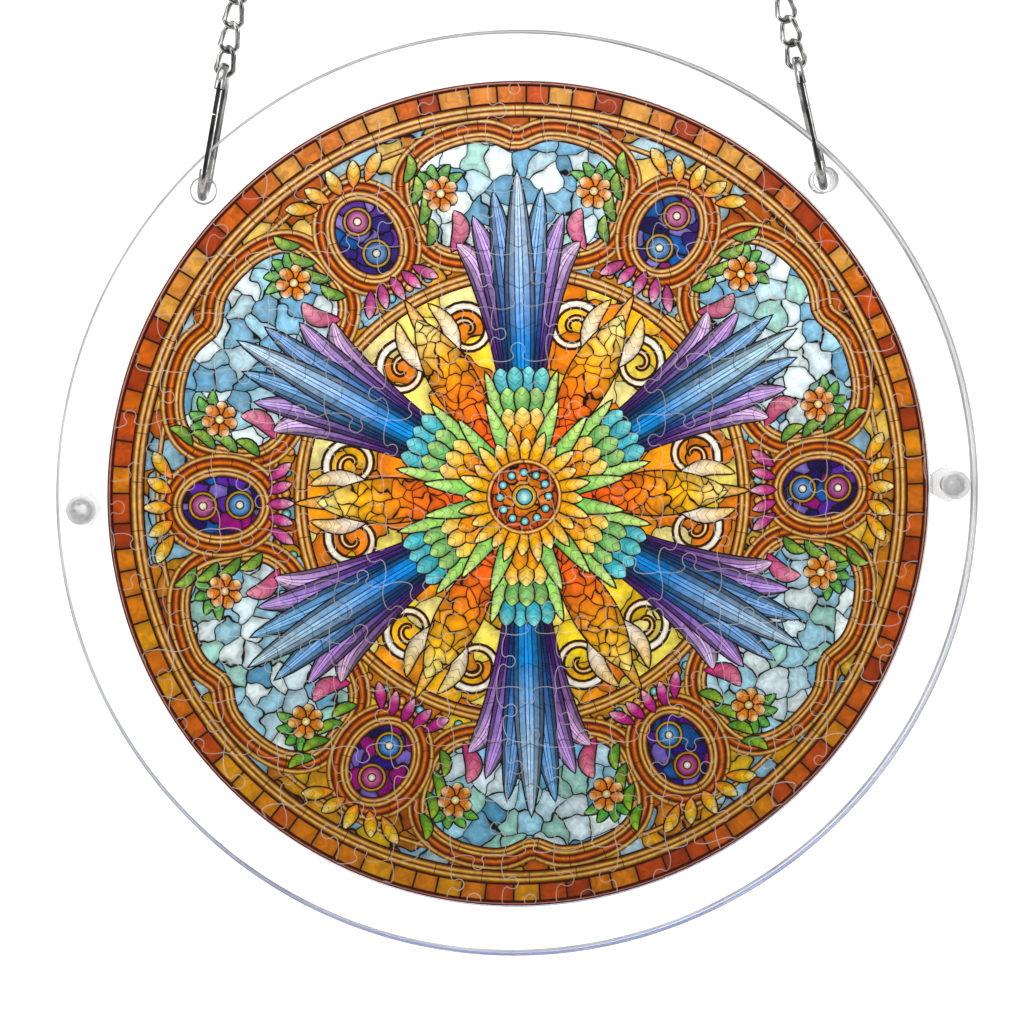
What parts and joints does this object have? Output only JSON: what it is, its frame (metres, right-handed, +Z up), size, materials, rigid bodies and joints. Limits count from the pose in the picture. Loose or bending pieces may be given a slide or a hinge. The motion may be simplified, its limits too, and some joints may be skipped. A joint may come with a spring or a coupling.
{
  "type": "puzzle suncatcher",
  "caption": "Round clear acrylic disc that holds a printed jigsaw picture and hangs in a window from a twisted chain and long rings.",
  "frame": {"origin": "the point where a hook carries the chain, on its axis, under the chain's middle link", "axes": "+Z up; -Y towards the viewer, the way the picture faces; +X to the viewer's right"},
  "size_m": [0.25, 0.0177, 0.5906],
  "materials": {
    "clear_acrylic": "polished cast acrylic sheet, water clear",
    "printed_acrylic": "printed in bright colours, seen through the clear cover",
    "clear_nylon": "clear moulded plastic, slightly hazy",
    "nickel_plated_steel": "bright nickel plate"
  },
  "bodies": {
    "root": {"front_cover": "clear_acrylic", "back_tray": "clear_acrylic", "puzzle_disc": "printed_acrylic", "left_screw": "clear_nylon", "right_screw": "clear_nylon", "left_nut": "clear_nylon", "right_nut": "clear_nylon", "left_ring": "nickel_plated_steel", "right_ring": "nickel_plated_steel", "left_chain": "nickel_plated_steel", "right_chain": "nickel_plated_steel", "hanging_link": "nickel_plated_steel"}
  },
  "joints": []
}
